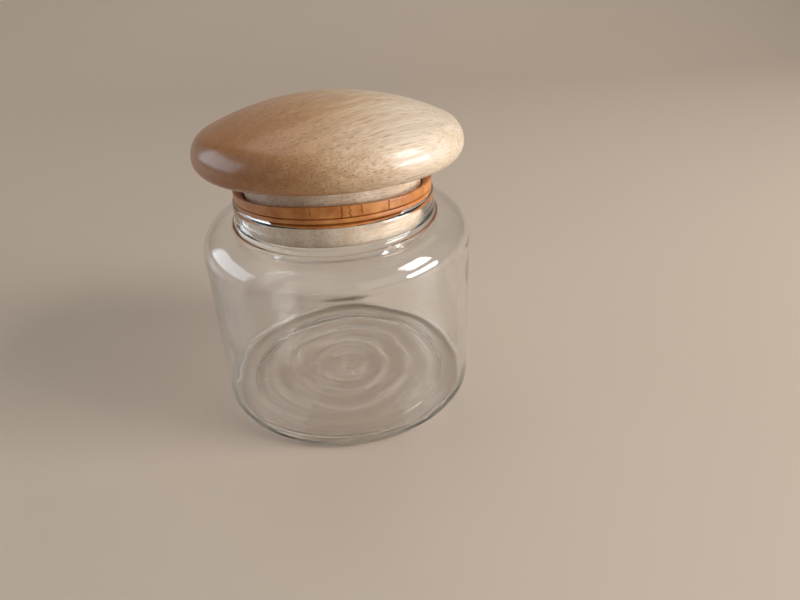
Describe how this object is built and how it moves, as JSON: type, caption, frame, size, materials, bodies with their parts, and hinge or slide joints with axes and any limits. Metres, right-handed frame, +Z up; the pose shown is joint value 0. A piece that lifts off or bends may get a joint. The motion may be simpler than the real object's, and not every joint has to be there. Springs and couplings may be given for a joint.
{
  "type": "lidded glass canister",
  "caption": "Short round glass canister with a shouldered neck, closed by a domed wooden stopper lid on a ribbed rubber sealing ring. The lid turns and lifts off.",
  "frame": {"origin": "centre of the foot ring, on the surface that the canister stands on", "axes": "+Z up along the jar's axis, -Y towards the side where the askew lid stands up, +X to that viewer's right"},
  "size_m": [0.1, 0.1, 0.1156],
  "materials": {
    "glass": "clear, smooth, slightly wavy",
    "wood": "satin lacquer on the dome, bare end grain on the plug",
    "gasket": "aged amber rubber, satin, with fine cracks"
  },
  "bodies": {
    "jar": {"glass_jar": "glass"},
    "seal": {"sealing_ring": "gasket"},
    "lid": {"wooden_lid": "wood"}
  },
  "joints": [
    {"name": "lid_lift", "type": "slide", "parent": "jar", "child": "seal", "axis": [0, 0, 1], "range_m": [0, 0.06]},
    {"name": "lid_turn", "type": "hinge", "parent": "seal", "child": "lid", "pos_m": [0, 0, 0.0818], "axis": [0, 0.0872, 0.9962], "continuous": true}
  ]
}
